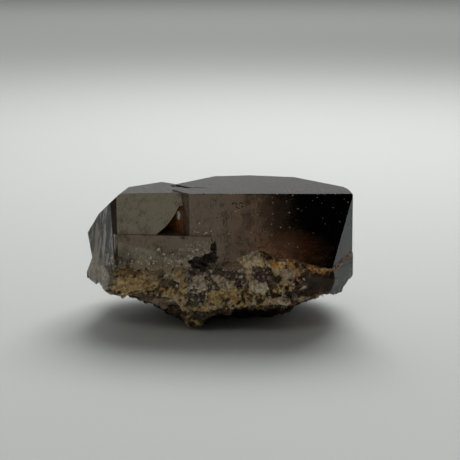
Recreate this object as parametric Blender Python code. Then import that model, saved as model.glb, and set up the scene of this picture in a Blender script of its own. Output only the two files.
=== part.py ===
"""Smoky quartz crystal: a chunky hand specimen, one grown piece.

Two parallel crystals share one body: a large one on the right with a long flat
top face, and a smaller lobe on the left. Their sharp growth faces end in a rough,
iron-stained fracture all round the bottom, on which the piece rests.

Units are metres in Blender; every length below is in millimetres and is scaled
by MM. +X is the long axis, -Y the side with the broad front face, +Z up.
The origin is the bottom centre of the bounding box.
"""
import math

import bmesh
import bpy
from mathutils import Vector, noise

# ---------------------------------------------------------------- dimensions, mm
MM = 0.001
TOP_Z = 41.9            # height of the long flat top face
FRONT_Y = -19.0         # top edge of the broad front face
FRONT_TILT = 10.0       # degrees by which the front face leans back
RIGHT_X = 39.45         # right end face, at the top front corner
LOBE_TOP_Z = 41.5       # top of the left lobe
LOBE_FRONT_Y = -16.4    # top edge of the lobe's front face
LOBE_EDGE_X = -31.0     # vertical edge between the lobe's front and left faces
LEDGE_Z = 29.6          # growth ledge that crosses the left half of the front
WALL_X = -9.4           # side wall where the big crystal steps out past the lobe
RECESS_DEPTH = 5.2      # triangular recess between lobe and big crystal
BASE_TOP = 19.6         # the broken base reaches up to here behind the front
SHIFT = (0.359, 4.45, 0.0)  # moves the finished piece onto its box centre

# height of the upper limit of the broken zone along the front, (x, z)
BREAK_LINE = ((-46, 21.5), (-31, 20.5), (-21, 20.2), (-10.6, 20.8), (-3, 21.2), (2, 21.9),
              (6, 23.0), (8.9, 24.4), (10.8, 25.4), (12.6, 25.2), (14.5, 24.0), (16.5, 22.9),
              (20.8, 22.6), (24, 21.9), (28, 20.9), (33.5, 19.5), (46, 18.4))
# lower outline of the piece at the front, at its keel and at the back, (x, z)
FRONT_RIM = ((-46, 19), (-41.7, 15.6), (-37, 14.4), (-35.2, 13.0), (-33.4, 11.6),
             (-27.3, 10.8), (-21.4, 8.4), (-15.6, 5.4), (-12, 2.4), (-8.6, 0.9), (-5.5, 1.4),
             (-1, 4.2), (4.3, 6.4), (12.4, 7.2), (18.4, 7.6), (23, 8.8), (27.7, 11.0),
             (33, 11.8), (36, 11.4), (38.5, 11.8), (40.2, 13.2), (46, 17))
KEEL = ((-46, 19), (-41.7, 13.9), (-38, 11.4), (-35, 9.6), (-33, 8.8), (-25, 5.4), (-15, 1.2), (-9, -0.8), (0, -0.9),
        (15, -0.9), (19, 0.6), (25, 4.6), (32, 8.6), (38, 12.4), (46, 19))
BACK_RIM = ((-46, 22), (-36, 18.5), (-22, 14.5), (-8, 12.0), (8, 13.5), (22, 12.0),
            (34, 15.5), (46, 20))


def interp(table, x):
    if x <= table[0][0]:
        return table[0][1]
    for (x0, z0), (x1, z1) in zip(table, table[1:]):
        if x <= x1:
            t = (x - x0) / (x1 - x0)
            return z0 + (z1 - z0) * t
    return table[-1][1]


def smooth(a, b, v):
    t = min(1.0, max(0.0, (v - a) / (b - a)))
    return t * t * (3 - 2 * t)


def rough(x, y, z, scale, octaves, seed=0.0):
    return noise.fractal(Vector((x / scale + seed, y / scale - seed, z / scale + 7.7)),
                         1.0, 2.1, octaves, noise_basis="PERLIN_ORIGINAL")


def chips(x, y, size, tilt, seed):
    """Height of a surface broken into small flat chips, each tilted its own way."""
    p = Vector((x / size + seed, y / size - seed, seed * 0.37))
    dist, near = noise.voronoi(p)
    c = near[0]
    r = noise.cell_vector(c * 3.7 + Vector((seed, 1.3, 0.2)))
    d = p - c
    return size * tilt * ((r.x - 0.5) * d.x + (r.y - 0.5) * d.y + 0.55 * (r.z - 0.5))


def inset(face, by):
    """The same face, moved inwards, so that joined solids never share a plane."""
    point, normal = face
    return (tuple(Vector(point) - Vector(normal).normalized() * by), normal)


# ---------------------------------------------------------------- growth faces
def convex(name, faces, size=120.0):
    """A solid bounded by flat faces: a cube cut back by one plane after another."""
    bm = bmesh.new()
    bmesh.ops.create_cube(bm, size=size)
    for point, normal in faces:
        geom = bm.verts[:] + bm.edges[:] + bm.faces[:]
        bmesh.ops.bisect_plane(bm, geom=geom, plane_co=point, plane_no=Vector(normal).normalized(),
                               clear_outer=True)
        edges = [e for e in bm.edges if e.is_boundary]
        if edges:
            bmesh.ops.holes_fill(bm, edges=edges)
    bmesh.ops.recalc_face_normals(bm, faces=bm.faces[:])
    return to_object(name, bm)


def to_object(name, bm):
    for v in bm.verts:
        v.co = (v.co + Vector(SHIFT)) * MM
    mesh = bpy.data.meshes.new(name)
    bm.to_mesh(mesh)
    bm.free()
    return bpy.data.objects.new(name, mesh)


def front_plane_y(z):
    return FRONT_Y - (TOP_Z - z) * math.tan(math.radians(FRONT_TILT))


t = math.radians(FRONT_TILT)
FRONT_N = (0, -math.cos(t), math.sin(t))
LOBE_N = (0.0, -0.944, 0.330)
LEFT = ((LOBE_EDGE_X - 1.5, -18.2, 34), (-0.80, -0.60, 0.16))  # striated left face
LEDGE_N = (0.01, -0.05, 1)
RIGHT_REAR = ((31.0, -3.1, TOP_Z), (0.64, 0.66, 0.36))
LOWER_RIGHT = ((34.3, -23.5, 19.3), (0.79, -0.60, -0.113))   # facet under the bright band
SLOPE = ((-31.4, -17.0, 40.2), (-0.66, 0.13, 0.72))          # sloping upper left
TIP = ((-41.9, -6.0, 29.4), (-0.95, 0.22, -0.37))            # left tip
LOW_SLOPE = ((-40.2, -9.0, 28.9), (-0.83, 0.10, 0.55))
LEFT_REAR = ((-30.0, 4.5, 32.0), (-0.52, 0.78, 0.34))
LOBE_REAR = ((-19.0, -1.3, LOBE_TOP_Z), (-0.04, 0.86, 0.50))

BIG = [
    ((0, 0, TOP_Z), (0, 0, 1)),                            # long flat top
    ((0, FRONT_Y, TOP_Z), FRONT_N),                        # broad front
    ((RIGHT_X, FRONT_Y, TOP_Z), (0.99, 0.10, 0.075)),         # right end
    ((38.9, -13.0, TOP_Z), (0.93, 0.33, 0.12)),            # narrow bevel behind it
    inset(LOWER_RIGHT, 0.12),
    RIGHT_REAR,
    ((16.6, 5.5, TOP_Z), (0.17, 0.90, 0.38)),              # rear, right half
    ((3.5, 6.2, TOP_Z), (-0.11, 0.92, 0.35)),              # rear, left half
    ((-8.1, -0.45, TOP_Z), (-0.66, 0.67, 0.33)),           # left rear
    ((-13.9, -8.0, TOP_Z), (-0.94, 0.10, 0.33)),           # low step on to the lobe
    ((WALL_X, FRONT_Y, TOP_Z), (-0.74, -0.66, 0.116)),       # side wall beside the lobe
    ((0, 0, 2.0), (0, 0, -1)),
]
LOBE = [
    ((-20, -10, LOBE_TOP_Z), (-0.02, 0.0, 1)),             # top
    ((-20, LOBE_FRONT_Y, LOBE_TOP_Z), LOBE_N),
    ((LOBE_EDGE_X, -19.0, 34), (-0.50, -0.83, 0.27)),      # narrow dark bevel on the edge
    LEFT,
    SLOPE, LOW_SLOPE, TIP, LEFT_REAR, LOBE_REAR,
    ((-26.5, -6.5, LOBE_TOP_Z), (-0.42, 0.62, 0.66)),
    ((-16.0, -2.9, LOBE_TOP_Z), (0.45, 0.60, 0.66)),       # towards the junction
    ((-8.0, 0, 30), (1, 0, 0)),
    ((0, 0, 3.0), (0, 0, -1)),
]
PLATE = [
    ((-10, -21.4, LEDGE_Z), LEDGE_N),                      # ledge
    ((-3.0, -21.65, LEDGE_Z), (-0.030, -0.975, 0.215)),    # front, just proud of the rest
    ((-2.7, -21.0, LEDGE_Z), (0.93, -0.2, 0.28)),          # right end
    ((LOBE_EDGE_X - 1.0, -21.0, LEDGE_Z), (-0.50, -0.83, 0.20)),
    inset(LEFT, 0.15),
    inset(SLOPE, 0.5), inset(LOW_SLOPE, 0.4), inset(TIP, 0.3),
    ((0, -10.5, 30), (0, 1, 0)),
    ((0, 0, 3.5), (0, 0, -1)),
]
BASE = [
    ((0, 0, BASE_TOP), (0, 0, 1)),
    ((0, -29.0, 0), (0, -1, 0)),
    ((0, 23.0, 0), (0, 1, 0)),
    ((40.45, -15.0, 18), (0.99, 0.12, 0.03)),
    LOWER_RIGHT,
    inset(RIGHT_REAR, 0.4), inset(LEFT_REAR, 0.4), inset(LOBE_REAR, 0.6),
    ((-41.7, -11.5, 15), (-0.96, 0.28, 0.0)),
    ((-40.8, -12.0, 15.9), (-0.74, -0.27, 0.61)),          # shoulder of the lower left tip
    ((-37.5, -17.0, 14), (-0.80, -0.60, 0.0)),
    ((0, 0, -12.0), (0, 0, -1)),
]
# a corner facet is taken off the right end above a narrow bright band
CORNER = [
    ((39.2, -19.3, 40.7), (-0.80, 0.60, 0.113)),
    ((33.4, -22.9, 19.9), (-0.46, 0.62, -0.66)),
]
# rectangular part of the triangular recess; a round core is left out of it
RECESS = [
    ((-10, -21.4, LEDGE_Z - 0.4), (-0.01, 0.05, -1)),
    ((-12.3, 0, 38.0), (0.10, 0, 1)),
    ((WALL_X + 0.3, FRONT_Y, TOP_Z), (0.74, 0.66, -0.116)),
    ((0, LOBE_FRONT_Y + RECESS_DEPTH, 30), (0.25, 1, 0.55)),
    ((-21.5, 0, 0), (-1, 0, 0)),
    ((0, -40, 0), (0, -1, 0)),
]
CORE_CENTRE = (-29.4, 45.3)
CORE_RADIUS = 18.6


# ---------------------------------------------------------------- broken surfaces
# places where the break is glassy and smooth: x, z and their half widths
SMOOTH_SPOTS = ((-36.0, 18.0, 5.5, 9.0), (-17.8, 9.4, 6.0, 2.7), (3.6, 21.0, 5.5, 2.0),
                (28.8, 14.6, 6.0, 2.4), (38.0, 17.0, 4.0, 6.0), (19.5, 6.2, 5.5, 1.6))


def lively(x, z):
    """Falls from 1 to about 0.15 where the break is smooth, not crumbled."""
    k = 1.0
    for cx, cz, rx, rz in SMOOTH_SPOTS:
        k *= 1.0 - 0.85 * smooth(1.25, 0.6, math.hypot((x - cx) / rx, (z - cz) / rz))
    return max(k, 0.12)


def broken_front(x, z, fine):
    """Y of the rough zone below the growth faces."""
    top = interp(BREAK_LINE, x)
    base = front_plane_y(z) + 1.0 * smooth(-4, -16, x)
    depth = top - z                               # distance below the break line
    y = base + 1.1 - 2.5 * smooth(0.5, 8.0, depth)
    # the ridge that runs from the left down to the lowest point
    ridge = 15.6 - 0.30 * (x + 27) if x < -12.5 else 11.2 - 2.9 * (x + 12.5)
    y += 0.55 * max(0.0, 9.5 - z)
    if x < -7.0:
        side = smooth(-7.0, -11.0, x)
        y += 0.62 * max(0.0, ridge - z) * side
        y -= 1.5 * math.exp(-((z - ridge) / 2.2) ** 2) * side * smooth(-32.0, -28.0, x)
    y += 3.6 * math.exp(-((x - 29.0) / 5.0) ** 2 - ((z - 14.2) / 3.6) ** 2)
    y -= 1.2 * math.exp(-((x - 12.0) / 5.5) ** 2 - ((z - 16.0) / 5.0) ** 2)
    y += 2.2 * math.exp(-((x - 13.6) / 2.2) ** 2 - ((z - 18.4) / 1.6) ** 2)
    y += 0.9 * rough(x, 0, z, 9.0, 3, 3.1)
    lumps = chips(x, z, 3.2, 0.55, 5.3) * smooth(0.0, 3.0, depth) * (0.25 + 0.75 * lively(x, z))
    lumps += fine(x, z, depth)
    y += lumps
    # above the base's own top nothing stands out past the front face
    limit = front_plane_y(z) + 0.25 - 3.0 * smooth(0.3, 4.0, BASE_TOP - z)
    y = max(y, limit + 0.8 * max(0.0, lumps + 0.25))
    # to the right the growth facets stay whole
    y -= 9.0 * smooth(33.4 + (19.3 - z) * 0.35, 35.2 + (19.3 - z) * 0.35, x)
    return y


def broken_under(x, y, fine):
    """Z of the broken underside."""
    front, keel, back = interp(FRONT_RIM, x), interp(KEEL, x), interp(BACK_RIM, x)
    if y < -8:
        z = keel + (front - keel) * smooth(-8.0, -22.0, y) - 0.3 * (y + 22) * (y < -22)
    else:
        s = min(1.4, max(0.0, (y - 1.0) / 16.0))
        z = keel + (back - keel) * (s ** 1.35)
    keep = smooth(-0.5, 3.0, z)
    z += (0.5 + 0.9 * keep) * rough(x, y, 0, 10.0, 3, 1.7)
    z += chips(x, y, 4.0, 0.5, 2.9) * (0.35 + 0.65 * keep)
    return z + fine(x, y, z)


def sheet_cutter(name, nu, nv, place, back):
    """A grid laid on a broken surface and drawn out to a flat back: a closed cutter."""
    bm = bmesh.new()
    bmesh.ops.create_grid(bm, x_segments=nu, y_segments=nv, size=0.5)
    for v in bm.verts:
        v.co = Vector(place(v.co.x + 0.5, v.co.y + 0.5))
    out = bmesh.ops.extrude_face_region(bm, geom=bm.faces[:])
    for v in out["geom"]:
        if isinstance(v, bmesh.types.BMVert):
            v.co = Vector(back(v.co))
    bmesh.ops.recalc_face_normals(bm, faces=bm.faces[:])
    return to_object(name, bm)


def front_place(fine):
    def place(a, b):
        x = -46 + 92 * a
        wave = 0.5 * noise.noise(Vector((x / 2.6, 4.1, 0)))
        top = interp(BREAK_LINE, x) + wave
        z = -8 + (top + 8) * (b ** 0.9)
        return (x, broken_front(x, z, fine), z)
    return place


def under_place(fine):
    def place(a, b):
        x, y = -47 + 94 * a, -34 + 62 * b
        return (x, y, broken_under(x, y, fine))
    return place


def ball(name, centre, radii, amount, seed, level, turn=0.0):
    """A rough-skinned ellipsoid that scoops a shell-shaped break, turned about Z."""
    c, s = math.cos(turn), math.sin(turn)
    bm = bmesh.new()
    bmesh.ops.create_icosphere(bm, subdivisions=level, radius=1.0)
    for v in bm.verts:
        d = v.co.normalized()
        ripple = 0.35 * amount * math.sin(9.0 * d.z + 5.0 * d.x + seed)
        k = 1.0 + (amount * rough(d.x, d.y, d.z, 0.55, 3, seed) + ripple) / max(radii)
        px, py = d.x * radii[0] * k, d.y * radii[1] * k
        v.co = Vector((centre[0] + c * px - s * py, centre[1] + s * px + c * py,
                       centre[2] + d.z * radii[2] * k))
    return to_object(name, bm)


# ---------------------------------------------------------------- build
def build():
    for o in list(bpy.data.objects):
        bpy.data.objects.remove(o, do_unlink=True)
    scene = bpy.context.scene
    made = bpy.data.collections.new("smoky_quartz")
    cuts = bpy.data.collections.new("cutters")
    scene.collection.children.link(made)
    scene.collection.children.link(cuts)

    def cutter(obj):
        cuts.objects.link(obj)
        obj.hide_render = True
        obj.display_type = "WIRE"
        return obj

    body = convex("smoky_quartz_crystal", BIG)
    made.objects.link(body)

    def apply(obj, operation):
        mod = body.modifiers.new(obj.name, "BOOLEAN")
        mod.operation = operation
        mod.solver = "EXACT"
        mod.object = obj

    def none(*_):
        return 0.0

    # the recess: its flat-sided blank less a round core, so its long edge is curved
    recess = cutter(convex("recess_cut", RECESS))
    bpy.ops.mesh.primitive_cylinder_add(vertices=64, radius=CORE_RADIUS * MM, depth=90 * MM)
    core = bpy.context.active_object
    core.name = "recess_core"
    core.rotation_euler = (math.pi / 2, 0, 0)
    core.location = Vector((CORE_CENTRE[0] + SHIFT[0], 0, CORE_CENTRE[1] + SHIFT[2])) * MM
    for c in core.users_collection:
        c.objects.unlink(core)
    cutter(core)
    mod = recess.modifiers.new("core", "BOOLEAN")
    mod.operation, mod.solver, mod.object = "DIFFERENCE", "EXACT", core

    apply(cutter(convex("lobe", LOBE)), "UNION")
    apply(recess, "DIFFERENCE")
    apply(cutter(convex("plate", PLATE)), "UNION")
    apply(cutter(convex("base", BASE)), "UNION")
    apply(cutter(convex("corner", CORNER)), "DIFFERENCE")
    apply(cutter(sheet_cutter("front_break", 60, 16, front_place(none),
                              lambda c: (c.x, -60, c.z))), "DIFFERENCE")
    apply(cutter(sheet_cutter("under_break", 52, 36, under_place(none),
                              lambda c: (c.x, c.y, -50))), "DIFFERENCE")
    apply(cutter(ball("crescent", (-5.0, -23.4, 21.4), (5.0, 2.9, 2.9), 0.5, 2.0, 3)), "DIFFERENCE")
    apply(cutter(ball("crescent_horn", (-2.2, -22.6, 25.4), (1.5, 2.0, 3.0), 0.3, 5.0, 2)), "DIFFERENCE")
    apply(cutter(ball("rear_chip", (35.5, 14.5, 29.5), (15.0, 13.0, 12.5), 0.9, 4.0, 4)), "DIFFERENCE")
    apply(cutter(ball("junction_crack", (-12.4, -8.9, 42.2), (4.3, 1.0, 1.9), 0.3, 6.0, 2, -0.66)), "DIFFERENCE")
    apply(cutter(ball("junction_line", (-7.4, -10.8, 42.1), (3.4, 0.3, 0.8), 0.1, 6.0, 2, -0.05)), "DIFFERENCE")
    apply(cutter(convex("seat", [((0, 0, 0), (0, 0, 1))])), "DIFFERENCE")

    body.data.materials.append(material())


def material():
    mat = bpy.data.materials.new("smoky_quartz")
    mat.use_nodes = True
    bsdf = mat.node_tree.nodes["Principled BSDF"]
    bsdf.inputs["Base Color"].default_value = (0.045, 0.033, 0.024, 1.0)
    bsdf.inputs["Roughness"].default_value = 0.12
    bsdf.inputs["Metallic"].default_value = 0.0
    bsdf.inputs["IOR"].default_value = 1.544
    return mat


build()
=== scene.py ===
"""Looks of the smoky quartz crystal: the same faces as the CAD part, with its broken
zone modelled finely, glassy smoky quartz inside, iron stains, veils and cracks."""
import math

import bmesh
import bpy
from mathutils import Matrix, Vector, noise


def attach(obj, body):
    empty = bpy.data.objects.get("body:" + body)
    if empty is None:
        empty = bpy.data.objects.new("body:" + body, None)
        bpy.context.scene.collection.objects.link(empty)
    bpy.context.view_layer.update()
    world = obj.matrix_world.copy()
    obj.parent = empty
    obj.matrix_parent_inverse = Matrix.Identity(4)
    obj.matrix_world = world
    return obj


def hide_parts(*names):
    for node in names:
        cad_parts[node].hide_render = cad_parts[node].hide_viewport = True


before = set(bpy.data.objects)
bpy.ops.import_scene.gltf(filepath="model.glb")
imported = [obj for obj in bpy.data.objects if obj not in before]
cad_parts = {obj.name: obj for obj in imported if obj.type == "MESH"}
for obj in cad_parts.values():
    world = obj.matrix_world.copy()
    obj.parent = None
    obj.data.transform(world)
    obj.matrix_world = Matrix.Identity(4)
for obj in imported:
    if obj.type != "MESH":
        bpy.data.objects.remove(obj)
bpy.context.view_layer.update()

# ================================================================ dimensions, mm
MM = 0.001
TOP_Z = 41.9
FRONT_Y = -19.0
FRONT_TILT = 10.0
RIGHT_X = 39.45
LOBE_TOP_Z = 41.5
LOBE_FRONT_Y = -16.4
LOBE_EDGE_X = -31.0
LEDGE_Z = 29.6
WALL_X = -9.4
RECESS_DEPTH = 5.2
BASE_TOP = 19.6
SHIFT = (0.359, 4.45, 0.0)

BREAK_LINE = ((-46, 21.5), (-31, 20.5), (-21, 20.2), (-10.6, 20.8), (-3, 21.2), (2, 21.9),
              (6, 23.0), (8.9, 24.4), (10.8, 25.4), (12.6, 25.2), (14.5, 24.0), (16.5, 22.9),
              (20.8, 22.6), (24, 21.9), (28, 20.9), (33.5, 19.5), (46, 18.4))
FRONT_RIM = ((-46, 19), (-41.7, 15.6), (-37, 14.4), (-35.2, 13.0), (-33.4, 11.6),
             (-27.3, 10.8), (-21.4, 8.4), (-15.6, 5.4), (-12, 2.4), (-8.6, 0.9), (-5.5, 1.4),
             (-1, 4.2), (4.3, 6.4), (12.4, 7.2), (18.4, 7.6), (23, 8.8), (27.7, 11.0),
             (33, 11.8), (36, 11.4), (38.5, 11.8), (40.2, 13.2), (46, 17))
KEEL = ((-46, 19), (-41.7, 13.9), (-38, 11.4), (-35, 9.6), (-33, 8.8), (-25, 5.4), (-15, 1.2), (-9, -0.8), (0, -0.9),
        (15, -0.9), (19, 0.6), (25, 4.6), (32, 8.6), (38, 12.4), (46, 19))
BACK_RIM = ((-46, 22), (-36, 18.5), (-22, 14.5), (-8, 12.0), (8, 13.5), (22, 12.0),
            (34, 15.5), (46, 20))


def interp(table, x):
    if x <= table[0][0]:
        return table[0][1]
    for (x0, z0), (x1, z1) in zip(table, table[1:]):
        if x <= x1:
            return z0 + (z1 - z0) * (x - x0) / (x1 - x0)
    return table[-1][1]


def smooth(a, b, v):
    t = min(1.0, max(0.0, (v - a) / (b - a)))
    return t * t * (3 - 2 * t)


def rough(x, y, z, scale, octaves, seed=0.0):
    return noise.fractal(Vector((x / scale + seed, y / scale - seed, z / scale + 7.7)),
                         1.0, 2.1, octaves, noise_basis="PERLIN_ORIGINAL")


def chips(x, y, size, tilt, seed):
    p = Vector((x / size + seed, y / size - seed, seed * 0.37))
    dist, near = noise.voronoi(p)
    c = near[0]
    r = noise.cell_vector(c * 3.7 + Vector((seed, 1.3, 0.2)))
    d = p - c
    return size * tilt * ((r.x - 0.5) * d.x + (r.y - 0.5) * d.y + 0.55 * (r.z - 0.5))


# light levels of the studio
WORLD_FRONT, WORLD_BACK, WORLD_UP, WORLD_DARK = 0.075, 0.47, 0.45, 0.12
LAMP, FILL, REAR = 3.25, 0.40, 7.5


# ================================================================ faces
def to_object(name, bm, mat=None, scale=1.0):
    for v in bm.verts:
        v.co = (v.co + Vector(SHIFT)) * scale
    mesh = bpy.data.meshes.new(name)
    bm.to_mesh(mesh)
    bm.free()
    if mat is not None:
        mesh.materials.append(mat)
    return bpy.data.objects.new(name, mesh)


def convex(name, faces, size=120.0, mat=None, bevel=0.0):
    bm = bmesh.new()
    bmesh.ops.create_cube(bm, size=size)
    for point, normal in faces:
        geom = bm.verts[:] + bm.edges[:] + bm.faces[:]
        bmesh.ops.bisect_plane(bm, geom=geom, plane_co=point, plane_no=Vector(normal).normalized(),
                               clear_outer=True)
        edges = [e for e in bm.edges if e.is_boundary]
        if edges:
            bmesh.ops.holes_fill(bm, edges=edges)
    if bevel:
        bmesh.ops.bevel(bm, geom=bm.edges[:], offset=bevel, segments=1, affect="EDGES",
                        offset_type="OFFSET", clamp_overlap=True)
    bmesh.ops.recalc_face_normals(bm, faces=bm.faces[:])
    return to_object(name, bm, mat)


def front_plane_y(z):
    return FRONT_Y - (TOP_Z - z) * math.tan(math.radians(FRONT_TILT))


def inset(face, by):
    point, normal = face
    return (tuple(Vector(point) - Vector(normal).normalized() * by), normal)


t = math.radians(FRONT_TILT)
FRONT_N = (0, -math.cos(t), math.sin(t))
LOBE_N = (0.0, -0.944, 0.330)
LEFT = ((LOBE_EDGE_X - 1.5, -18.2, 34), (-0.80, -0.60, 0.16))
LEDGE_N = (0.01, -0.05, 1)
RIGHT_REAR = ((31.0, -3.1, TOP_Z), (0.64, 0.66, 0.36))
LOWER_RIGHT = ((34.3, -23.5, 19.3), (0.79, -0.60, -0.113))
SLOPE = ((-31.4, -17.0, 40.2), (-0.66, 0.13, 0.72))
TIP = ((-41.9, -6.0, 29.4), (-0.95, 0.22, -0.37))
LOW_SLOPE = ((-40.2, -9.0, 28.9), (-0.83, 0.10, 0.55))
LEFT_REAR = ((-30.0, 4.5, 32.0), (-0.52, 0.78, 0.34))
LOBE_REAR = ((-19.0, -1.3, LOBE_TOP_Z), (-0.04, 0.86, 0.50))

BIG = [
    ((0, 0, TOP_Z), (0, 0, 1)),
    ((0, FRONT_Y, TOP_Z), FRONT_N),
    ((RIGHT_X, FRONT_Y, TOP_Z), (0.99, 0.10, 0.075)),
    ((38.9, -13.0, TOP_Z), (0.93, 0.33, 0.12)),
    inset(LOWER_RIGHT, 0.12),
    RIGHT_REAR,
    ((16.6, 5.5, TOP_Z), (0.17, 0.90, 0.38)),
    ((3.5, 6.2, TOP_Z), (-0.11, 0.92, 0.35)),
    ((-8.1, -0.45, TOP_Z), (-0.66, 0.67, 0.33)),
    ((-13.9, -8.0, TOP_Z), (-0.94, 0.10, 0.33)),
    ((WALL_X, FRONT_Y, TOP_Z), (-0.74, -0.66, 0.116)),
    ((0, 0, 2.0), (0, 0, -1)),
]
LOBE = [
    ((-20, -10, LOBE_TOP_Z), (-0.02, 0.0, 1)),
    ((-20, LOBE_FRONT_Y, LOBE_TOP_Z), LOBE_N),
    ((LOBE_EDGE_X, -19.0, 34), (-0.50, -0.83, 0.27)),
    LEFT,
    SLOPE, LOW_SLOPE, TIP, LEFT_REAR, LOBE_REAR,
    ((-26.5, -6.5, LOBE_TOP_Z), (-0.42, 0.62, 0.66)),
    ((-16.0, -2.9, LOBE_TOP_Z), (0.45, 0.60, 0.66)),
    ((-8.0, 0, 30), (1, 0, 0)),
    ((0, 0, 3.0), (0, 0, -1)),
]
PLATE = [
    ((-10, -21.4, LEDGE_Z), LEDGE_N),
    ((-3.0, -21.65, LEDGE_Z), (-0.030, -0.975, 0.215)),
    ((-2.7, -21.0, LEDGE_Z), (0.93, -0.2, 0.28)),
    ((LOBE_EDGE_X - 1.0, -21.0, LEDGE_Z), (-0.50, -0.83, 0.20)),
    inset(LEFT, 0.15),
    inset(SLOPE, 0.5), inset(LOW_SLOPE, 0.4), inset(TIP, 0.3),
    ((0, -10.5, 30), (0, 1, 0)),
    ((0, 0, 3.5), (0, 0, -1)),
]
BASE = [
    ((0, 0, BASE_TOP), (0, 0, 1)),
    ((0, -29.0, 0), (0, -1, 0)),
    ((0, 23.0, 0), (0, 1, 0)),
    ((40.45, -15.0, 18), (0.99, 0.12, 0.03)),
    LOWER_RIGHT,
    inset(RIGHT_REAR, 0.4), inset(LEFT_REAR, 0.4), inset(LOBE_REAR, 0.6),
    ((-41.7, -11.5, 15), (-0.96, 0.28, 0.0)),
    ((-40.8, -12.0, 15.9), (-0.74, -0.27, 0.61)),
    ((-37.5, -17.0, 14), (-0.80, -0.60, 0.0)),
    ((0, 0, -12.0), (0, 0, -1)),
]
CORNER = [
    ((39.2, -19.3, 40.7), (-0.80, 0.60, 0.113)),
    ((33.4, -22.9, 19.9), (-0.46, 0.62, -0.66)),
]
RECESS = [
    ((-10, -21.4, LEDGE_Z - 0.4), (-0.01, 0.05, -1)),
    ((-12.3, 0, 38.0), (0.10, 0, 1)),
    ((WALL_X + 0.25, FRONT_Y, TOP_Z), (0.74, 0.66, -0.116)),
    ((0, LOBE_FRONT_Y + RECESS_DEPTH, 30), (0.25, 1, 0.55)),
    ((-21.5, 0, 0), (-1, 0, 0)),
    ((0, -40, 0), (0, -1, 0)),
]
WALL_STRIP = [
    ((-10, -21.4, LEDGE_Z - 0.35), (-0.01, 0.05, -1)),
    ((-12.3, 0, 37.9), (0.10, 0, 1)),
    ((WALL_X + 0.3, FRONT_Y, TOP_Z), (0.74, 0.66, -0.116)),
    ((-11.6, 0, 38.0), (-0.993, 0.0, -0.07)),
    ((0, -12.0, 30), (0, 1, 0)),
    ((0, -40, 0), (0, -1, 0)),
]
CORE_CENTRE = (-29.4, 45.3)
CORE_RADIUS = 18.6


# ================================================================ broken surfaces
SMOOTH_SPOTS = ((-36.0, 18.0, 5.5, 9.0), (-17.8, 9.4, 6.0, 2.7), (3.6, 21.0, 5.5, 2.0),
                (28.8, 14.6, 6.0, 2.4), (38.0, 17.0, 4.0, 6.0), (19.5, 6.2, 5.5, 1.6),
                (-25.0, 14.8, 6.6, 2.6), (-15.6, 11.7, 4.2, 1.1), (10.6, 20.8, 3.6, 2.4),
                (21.5, 18.6, 4.0, 1.6))


def lively(x, z):
    """Falls from 1 to 0.15 where the break is glassy and smooth, not crumbled."""
    k = 1.0
    for cx, cz, rx, rz in SMOOTH_SPOTS:
        k *= 1.0 - 0.85 * smooth(1.25, 0.6, math.hypot((x - cx) / rx, (z - cz) / rz))
    return max(k, 0.12)


def folds(x, z):
    """Soft slanting folds on the golden ridge, in mm towards the front."""
    reach = math.hypot((x + 24.5) / 8.0, (z - 14.4 + 0.28 * (x + 24.5)) / 3.4)
    turn = 1.3 * noise.noise(Vector((x / 4.5, 2.2, z / 3.5)))
    wave = math.sin(2.0 * math.pi * ((z - 0.55 * (x + 25.0)) / 2.3 + turn))
    long_one = math.exp(-((z - 11.9 + 0.22 * (x + 15.5)) / 0.75) ** 2) * smooth(-22.0, -18.0, x) \
        * smooth(-9.5, -12.5, x)
    return 0.34 * wave * smooth(1.25, 0.65, reach) + 0.7 * long_one


def broken_front(x, z, fine):
    top = interp(BREAK_LINE, x)
    base = front_plane_y(z) + 1.0 * smooth(-4, -16, x)
    depth = top - z
    y = base + 1.1 - 2.5 * smooth(0.5, 8.0, depth)
    ridge = 15.6 - 0.30 * (x + 27) if x < -12.5 else 11.2 - 2.9 * (x + 12.5)
    y += 0.55 * max(0.0, 9.5 - z)
    if x < -7.0:
        side = smooth(-7.0, -11.0, x)
        y += 0.62 * max(0.0, ridge - z) * side
        y -= 1.5 * math.exp(-((z - ridge) / 2.2) ** 2) * side * smooth(-32.0, -28.0, x)
    y += 3.6 * math.exp(-((x - 29.0) / 5.0) ** 2 - ((z - 14.2) / 3.6) ** 2)
    y -= 1.2 * math.exp(-((x - 12.0) / 5.5) ** 2 - ((z - 16.0) / 5.0) ** 2)
    y += 2.2 * math.exp(-((x - 13.6) / 2.2) ** 2 - ((z - 18.4) / 1.6) ** 2)
    y += 0.9 * rough(x, 0, z, 9.0, 3, 3.1)
    lumps = chips(x, z, 3.2, 0.55, 5.3) * smooth(0.0, 3.0, depth) * (0.25 + 0.75 * lively(x, z))
    lumps += fine(x, z, depth)
    lumps -= folds(x, z) * smooth(0.5, 2.5, depth)
    y += lumps
    limit = front_plane_y(z) + 0.25 - 3.0 * smooth(0.3, 4.0, BASE_TOP - z)
    y = max(y, limit + 0.8 * max(0.0, lumps + 0.25))
    y -= 9.0 * smooth(33.4 + (19.3 - z) * 0.35, 35.2 + (19.3 - z) * 0.35, x)
    return y


def broken_under(x, y, fine):
    front, keel, back = interp(FRONT_RIM, x), interp(KEEL, x), interp(BACK_RIM, x)
    if y < -8:
        z = keel + (front - keel) * smooth(-8.0, -22.0, y) - 0.3 * (y + 22) * (y < -22)
    else:
        s = min(1.4, max(0.0, (y - 1.0) / 16.0))
        z = keel + (back - keel) * (s ** 1.35)
    keep = smooth(-0.5, 3.0, z)
    z += (0.5 + 0.9 * keep) * rough(x, y, 0, 10.0, 3, 1.7)
    z += chips(x, y, 4.0, 0.5, 2.9) * (0.35 + 0.65 * keep)
    return z + fine(x, y, keep)


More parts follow.
